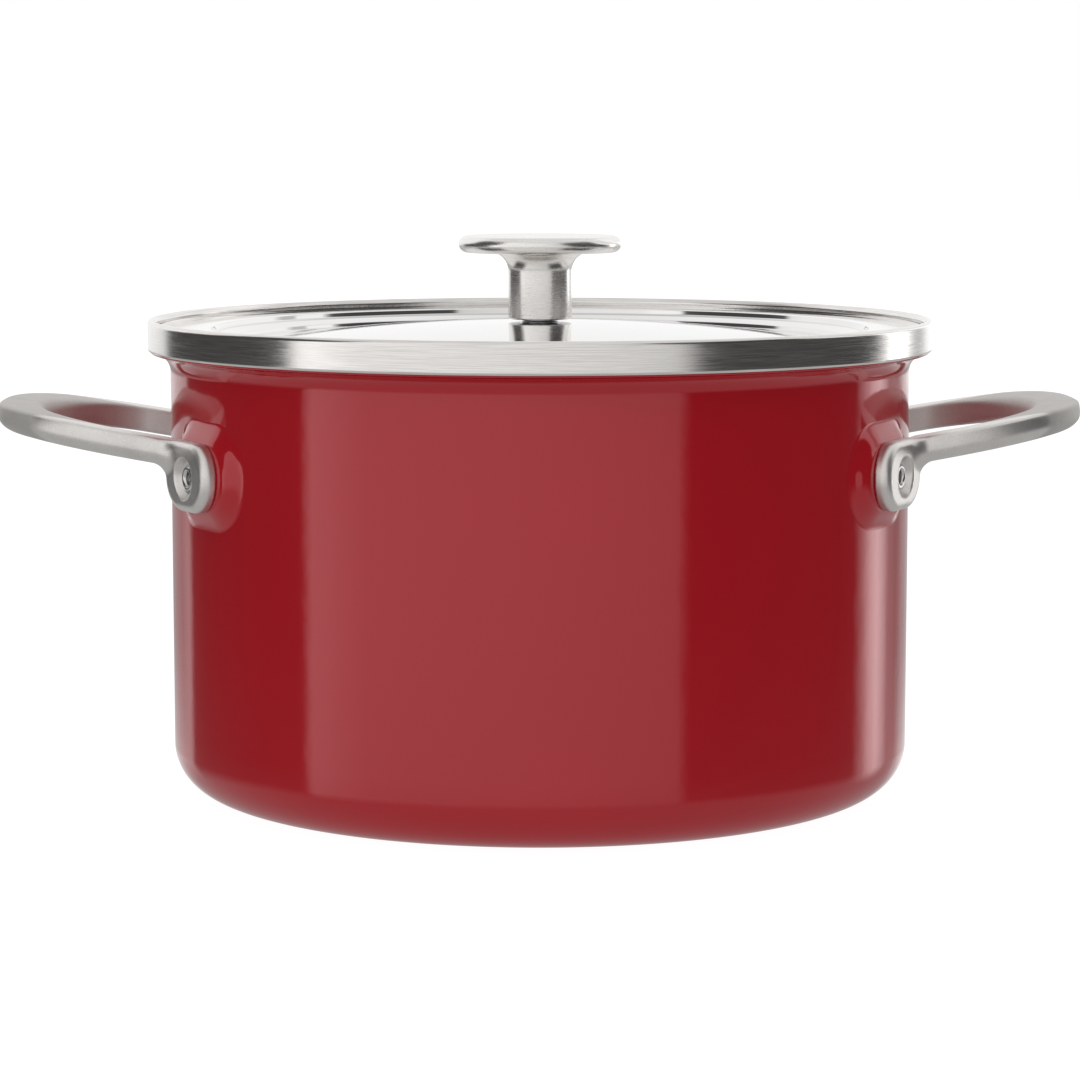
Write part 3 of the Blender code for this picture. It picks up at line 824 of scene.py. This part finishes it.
def lug_axes(x, y):
    """Distance out along a lug's normal, and along its width, for both lugs."""
    y = np.abs(y)
    out = x * math.cos(HANDLE_ANGLE) + y * math.sin(HANDLE_ANGLE)
    along = -x * math.sin(HANDLE_ANGLE) + y * math.cos(HANDLE_ANGLE)
    return out, along


def pad_field(x, y, z):
    """An embossed pad that flows into the wall, for the rear right lug."""
    out, along = lug_axes(x, y)
    wall = np.hypot(x, y) - WALL_R
    middle = (PAD_LOW + PAD_HIGH) / 2
    half = (PAD_HIGH - PAD_LOW) / 2
    outline = rounded_box(along, z - middle, PAD_HALF_W, half, PAD_CORNER)
    plate = both(outline, out - PAD_FACE, PAD_EDGE)
    skin = either(plate, wall, PAD_FILLET) + PAD_INSET
    back = (WALL_R - PAD_SUNK) - np.hypot(x, y)
    limit = rounded_box(along, z - middle, PAD_HALF_W + PAD_SKIRT, half + PAD_SKIRT, PAD_SKIRT_CORNER)
    bore = PAD_BORE_R - np.hypot(along, z - RIVET_Z)
    return np.maximum(both(both(skin, back, 0.0003), limit, 0.0003), bore)


def bar_top(x):
    """Height of the bar's top at a distance x from the pot's axis."""
    reach = (x - BAR_ROOT_X) / (GRIP_X - BAR_ROOT_X)
    fall = GRIP_FALL * (np.maximum(reach - GRIP_LEVEL, 0.0) / (1.0 - GRIP_LEVEL)) ** 2
    return BAR_ROOT_TOP + BAR_SLOPE * (x - BAR_ROOT_X) - fall


def handle_field(x, y, z):
    """One cast loop with its two lugs and their countersunk holes."""
    out, along = lug_axes(x, y)
    top_z = bar_top(x)
    outer = superellipse(x - (GRIP_X - LOOP_A), y, LOOP_A, LOOP_HALF_W, LOOP_POWER)
    inner = -superellipse(x - (HOLE_X - HOLE_A), y, HOLE_A, HOLE_HALF_W, HOLE_POWER)
    level = (z - top_z + BAR_T / 2) / (BAR_T / 2)
    across = (outer - inner) / np.maximum(np.abs(outer + inner), 1e-4)
    outer = outer + BAR_BULGE * level ** 2
    top = z - top_z + BAR_CROWN * np.clip(across, -1.0, 1.0) ** 2
    under = top_z - BAR_T - z
    grip = np.clip((x - GRIP_EDGE_X) / GRIP_EDGE_RUN, 0.0, 1.0)
    bar = both(outer, top, BAR_EDGE)
    bar = both(bar, under, BAR_UNDER_EDGE)
    bar = both(bar, inner, BAR_EDGE + GRIP_EDGE * grip * grip * (3.0 - 2.0 * grip))
    middle = (LUG_LOW + LUG_HIGH) / 2
    half = (LUG_HIGH - LUG_LOW) / 2
    outline = rounded_box(along, z - middle, LUG_HALF_W, half, LUG_CORNER)
    plate = both(outline, out - LUG_FRONT, LUG_EDGE)
    whole = either(bar, plate, LUG_FILLET)
    whole = both(whole, z - bar_top(np.maximum(x, LUG_TOP_X)), LUG_TOP_EDGE)
    whole = both(whole, LUG_BACK - out, LUG_BACK_EDGE)
    spot = np.hypot(along, z - RIVET_Z)
    depth = LUG_FRONT - out
    sink = SINK_R - SINK_TAPER * np.clip(depth / SINK_DEPTH, 0.0, 1.0)
    sink = sink - SINK_STEP * np.clip((depth - SINK_DEPTH) / SINK_STEP_T, 0.0, 1.0)
    return both(whole, sink - spot, SINK_EDGE)


def make_handles():
    """Both loops from one net: the left one is the right one turned half a turn.

    The net's grid reaches a little past the loop on every side.
    """
    low = (0.092, -0.0800, 0.0960)
    high = (GRIP_X + 0.0015, 0.0800, 0.1335)
    points, faces = surface_net(handle_field, low, high, HANDLE_CELL)
    for name, node, side in (("grip_right", "handle_right", 1), ("grip_left", "handle_left", -1)):
        verts = points * np.array((side, side, 1.0))
        grip = new_object(name, verts, faces, HANDLE_STEEL, sharp_deg=75)
        finish_piece(grip, "pot", node)


def rivet_angles():
    """Each lug's place and the direction of its rivet."""
    return [("right_rear", HANDLE_ANGLE),
            ("left_rear", math.pi - HANDLE_ANGLE),
            ("left_front", math.pi + HANDLE_ANGLE),
            ("right_front", -HANDLE_ANGLE)]


def make_pads():
    """Four pads from one net, each turned to its own lug."""
    low = (0.086, 0.030, PAD_LOW - 0.008)
    high = (0.126, 0.086, PAD_HIGH + 0.008)
    points, faces = surface_net(pad_field, low, high, PAD_CELL)
    for side, angle in rivet_angles():
        turn = Matrix.Rotation(angle - HANDLE_ANGLE, 3, "Z")
        verts = points @ np.array(turn).T
        pad = new_object("boss_" + side, verts, faces, ENAMEL, sharp_deg=60)
        finish_piece(pad, "pot", "pad_" + side)


def make_rivets():
    """Tubular rivets: a domed head inside the pot, a rolled end in the lug."""
    seat = -WALL_T - RIVET_SEAT_GAP
    end = LUG_FRONT - RIVET_BELOW_LUG - WALL_R
    roll_z = end - RIVET_ROLL
    floor = (0.0, end - RIVET_BORE_DEPTH)
    # Blind bore, rolled end and shank
    profile = eased([floor, (RIVET_BORE_R, end - 0.0038), (RIVET_BORE_R, roll_z)], 0.0010)
    profile += arc(RIVET_BORE_R + RIVET_ROLL, roll_z, RIVET_ROLL, 180, -20, 24)
    profile += eased([(SHANK_R, end - 2 * RIVET_ROLL - 0.0004), (SHANK_R, seat), (RIVET_HEAD_R, seat)],
                     0.0003, 4)
    # Domed head inside the pot
    dome_steps = 14
    for i in range(dome_steps + 1):
        t = math.pi / 2 * i / dome_steps
        rise = RIVET_HEAD_RIM + (RIVET_HEAD_T - RIVET_HEAD_RIM) * math.sin(t)
        profile.append((RIVET_HEAD_R * math.cos(t), seat - rise))
    profile[-1] = (0.0, seat - RIVET_HEAD_T)
    for side, angle in rivet_angles():
        rivet = turned("rolled_rivet_" + side, profile, RIVET_STEEL, SMALL_STEPS)
        rivet.data.transform(radial(angle, WALL_R, RIVET_Z))
        finish_piece(rivet, "pot", "rivet_" + side)


# ---------------------------------------------------------------------------
# Studio
# ---------------------------------------------------------------------------

WORLD_PEAK = 2.6          # what a full ramp stands for; nothing below is brighter
WORLD_RING = (            # degrees from the camera, to the right, and brightness there
    (-180, 1.02), (-150, 1.05), (-140, 0.95), (-136, 0.10), (-125, 0.065), (-92, 0.065),
    (-77.5, 0.09), (-73.5, 1.40), (-66, 1.25), (-54, 1.00), (-10, 0.92), (34, 0.78), (42, 0.74),
    (45.5, 0.07), (104, 0.065), (113, 0.09), (118, 0.9), (123, 2.1), (128, 2.4), (132, 1.6),
    (137, 0.60), (145, 0.60), (153, 1.20), (166, 1.30), (180, 1.02),
)
WORLD_NARROW = 0.28       # how much closer to the camera everything stands, higher up
WORLD_BACK = 0.42         # what is left of the back's light just below the horizon
WORLD_BACK_FROM = math.radians(134)
WORLD_BACK_TO = math.radians(150)
WORLD_LOW = 0.50          # brightness well below the horizon
WORLD_HIGH = 0.80         # and overhead
WORLD_UPPER = 1.10        # most that anything above the horizon shines


def make_world():
    """A soft front panel, dark flags beside it and a white surround."""
    world = bpy.data.worlds.new("studio")
    world.use_nodes = True
    bpy.context.scene.world = world
    world.node_tree.nodes.clear()
    nodes = Nodes(world.node_tree)
    direction = nodes.add("ShaderNodeTexCoord").outputs["Generated"]
    x, y, z = nodes.split(direction)
    angle = nodes.math("ARCTAN2", x, nodes.math("MULTIPLY", y, -1.0))
    angle = nodes.math("ADD", angle, CAMERA_TURN)
    spread = nodes.math("MULTIPLY", nodes.smooth(z, low=-0.05, high=0.30), WORLD_NARROW)
    angle = nodes.math("MULTIPLY", angle, nodes.math("ADD", spread, 1.0))
    position = nodes.math("ADD", nodes.math("DIVIDE", angle, 2 * math.pi), 0.5)
    ramp = nodes.add("ShaderNodeValToRGB", {"Fac": position})
    stops = ramp.color_ramp.elements
    while len(stops) > 1:
        stops.remove(stops[-1])
    for i, (degrees, brightness) in enumerate(WORLD_RING):
        place = degrees / 360 + 0.5
        stop = stops[0] if i == 0 else stops.new(place)
        stop.position = place
        stop.color = (*[brightness / WORLD_PEAK] * 3, 1.0)
    ring = nodes.math("MULTIPLY", ramp.outputs["Color"], WORLD_PEAK)
    behind = nodes.smooth(nodes.math("ABSOLUTE", angle), WORLD_BACK_FROM, WORLD_BACK_TO)
    sunk = nodes.math("MULTIPLY", nodes.smooth(z, low=-0.065, high=-0.105),
                      nodes.smooth(z, low=-0.22, high=-0.14))
    dimming = nodes.mix(nodes.math("MULTIPLY", behind, sunk), 1.0, WORLD_BACK)
    ring = nodes.math("MULTIPLY", ring, dimming)
    cap = nodes.mix(nodes.smooth(z, low=0.02, high=0.15), WORLD_PEAK, WORLD_UPPER)
    ring = nodes.math("MINIMUM", ring, cap)
    low = nodes.smooth(z, low=-0.12, high=-0.40)
    high = nodes.smooth(z, low=0.60, high=0.82)
    light = nodes.mix(high, nodes.mix(low, ring, WORLD_LOW), WORLD_HIGH)
    seen = nodes.add("ShaderNodeLightPath").outputs["Is Camera Ray"]
    plain = (1.0, 1.0, 1.0, 1.0)
    studio = nodes.add("ShaderNodeBackground", {"Color": plain, "Strength": light})
    white = nodes.add("ShaderNodeBackground", {"Color": plain, "Strength": 1.0})
    mixed = nodes.add("ShaderNodeMixShader", {0: seen, 1: studio.outputs[0], 2: white.outputs[0]})
    output = nodes.add("ShaderNodeOutputWorld")
    nodes.put(output.inputs["Surface"], mixed.outputs[0])


def make_floor():
    """A wide white disc just under the pot, which the pot's gloss doesn't mirror."""
    bpy.ops.mesh.primitive_circle_add(vertices=96, radius=FLOOR_R, fill_type="NGON")
    floor = bpy.context.object
    floor.name = "studio_floor"
    floor.location.z = -FLOOR_DROP
    floor.data.materials.append(floor_material())
    floor.visible_glossy = False


def make_camera():
    """A little above the pot's top, and looking slightly down on it."""
    data = bpy.data.cameras.new("camera")
    data.lens = CAMERA_LENS
    data.sensor_width = 36.0
    camera = bpy.data.objects.new("camera", data)
    bpy.context.scene.collection.objects.link(camera)
    camera.location = (-CAMERA_DISTANCE * math.sin(CAMERA_TURN),
                       -CAMERA_DISTANCE * math.cos(CAMERA_TURN), CAMERA_HEIGHT)
    camera.rotation_euler = (math.pi / 2 - CAMERA_PITCH, 0.0, -CAMERA_TURN)
    bpy.context.scene.camera = camera


make_body()
make_rim_ring()
make_lid()
make_knob()
make_washer("spacer_washer", "knob_seat")
make_washer("under_washer", "screw_washer")
make_screw()
make_pads()
make_handles()
make_rivets()
make_world()
make_floor()
make_camera()
bpy.context.scene.view_settings.view_transform = "Standard"
